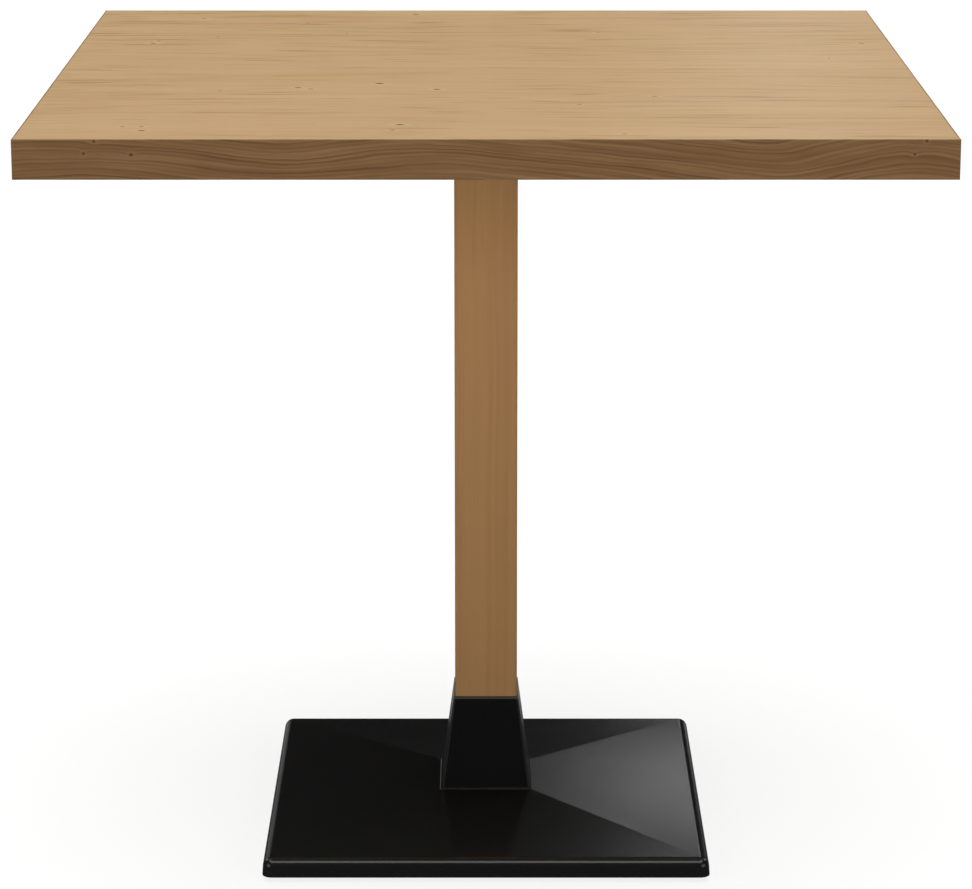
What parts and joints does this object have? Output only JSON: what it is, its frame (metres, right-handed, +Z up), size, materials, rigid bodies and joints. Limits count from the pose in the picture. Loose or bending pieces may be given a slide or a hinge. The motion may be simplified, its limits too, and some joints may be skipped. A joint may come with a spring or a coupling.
{
  "type": "bistro table",
  "caption": "Square wooden-topped pedestal table on a square wooden column, with a tapered neck, a low pyramid-shaped iron base and levelling feet.",
  "frame": {"origin": "on the floor, under the middle of the square top", "axes": "+Z up, -Y towards the front edge, +X to the right; the four sides are alike apart from the wood's grain, which runs along X on the top"},
  "size_m": [0.8, 0.8, 0.74],
  "materials": {
    "top_veneer": "satin lacquered pale oak veneer, faint crown-cut grain along X with small pin knots",
    "edge_veneer": "satin lacquered oak edge band, long grain, crisp arrises",
    "board_core": "raw fibreboard",
    "column_wood": "satin lacquered solid wood, straight upright grain",
    "black_iron": "cast iron with a black semi-matt powder coat, fine texture",
    "black_steel": "mild steel with a black semi-matt powder coat",
    "zinc_steel": "bright zinc-plated steel",
    "foot_nylon": "moulded black nylon"
  },
  "bodies": {
    "table": {"top_core": "board_core", "top_face_veneer": "top_veneer", "top_backing_veneer": "top_veneer", "edge_band_front": "edge_veneer", "edge_band_back": "edge_veneer", "edge_band_left": "edge_veneer", "edge_band_right": "edge_veneer", "column": "column_wood", "base_casting": "black_iron", "neck": "black_iron", "mounting_bar_lower": "black_steel", "mounting_bar_upper": "black_steel", "hub_plate": "black_steel", "column_socket": "black_steel", "hub_nut": "zinc_steel", "tie_rod": "zinc_steel", "base_washer": "zinc_steel", "base_nut": "zinc_steel", "top_screw_1": "zinc_steel", "top_screw_2": "zinc_steel", "top_screw_3": "zinc_steel", "top_screw_4": "zinc_steel", "top_screw_5": "zinc_steel", "top_screw_6": "zinc_steel", "top_screw_7": "zinc_steel", "top_screw_8": "zinc_steel", "neck_screw_1": "zinc_steel", "neck_screw_2": "zinc_steel", "neck_screw_3": "zinc_steel", "neck_screw_4": "zinc_steel"},
    "pad_front_left": {"leveller_pad_front_left": "foot_nylon"},
    "stem_front_left": {"leveller_stem_front_left": "zinc_steel"},
    "pad_front_right": {"leveller_pad_front_right": "foot_nylon"},
    "stem_front_right": {"leveller_stem_front_right": "zinc_steel"},
    "pad_back_right": {"leveller_pad_back_right": "foot_nylon"},
    "stem_back_right": {"leveller_stem_back_right": "zinc_steel"},
    "pad_back_left": {"leveller_pad_back_left": "foot_nylon"},
    "stem_back_left": {"leveller_stem_back_left": "zinc_steel"}
  },
  "joints": [
    {"name": "leveller_extend_front_left", "type": "slide", "parent": "table", "child": "pad_front_left", "axis": [0, 0, -1], "range_m": [0, 0.005]},
    {"name": "leveller_turn_front_left", "type": "hinge", "parent": "pad_front_left", "child": "stem_front_left", "pos_m": [-0.165, -0.165, 0.01], "axis": [0, 0, -1], "range_deg": [0, 1440]},
    {"name": "leveller_extend_front_right", "type": "slide", "parent": "table", "child": "pad_front_right", "axis": [0, 0, -1], "range_m": [0, 0.005]},
    {"name": "leveller_turn_front_right", "type": "hinge", "parent": "pad_front_right", "child": "stem_front_right", "pos_m": [0.165, -0.165, 0.01], "axis": [0, 0, -1], "range_deg": [0, 1440]},
    {"name": "leveller_extend_back_right", "type": "slide", "parent": "table", "child": "pad_back_right", "axis": [0, 0, -1], "range_m": [0, 0.005]},
    {"name": "leveller_turn_back_right", "type": "hinge", "parent": "pad_back_right", "child": "stem_back_right", "pos_m": [0.165, 0.165, 0.01], "axis": [0, 0, -1], "range_deg": [0, 1440]},
    {"name": "leveller_extend_back_left", "type": "slide", "parent": "table", "child": "pad_back_left", "axis": [0, 0, -1], "range_m": [0, 0.005]},
    {"name": "leveller_turn_back_left", "type": "hinge", "parent": "pad_back_left", "child": "stem_back_left", "pos_m": [-0.165, 0.165, 0.01], "axis": [0, 0, -1], "range_deg": [0, 1440]}
  ],
  "couplings": [
    {"joint": "leveller_extend_front_left", "follows": "leveller_turn_front_left", "m_per_rad": 0.00019894},
    {"joint": "leveller_extend_front_right", "follows": "leveller_turn_front_right", "m_per_rad": 0.00019894},
    {"joint": "leveller_extend_back_right", "follows": "leveller_turn_back_right", "m_per_rad": 0.00019894},
    {"joint": "leveller_extend_back_left", "follows": "leveller_turn_back_left", "m_per_rad": 0.00019894}
  ]
}
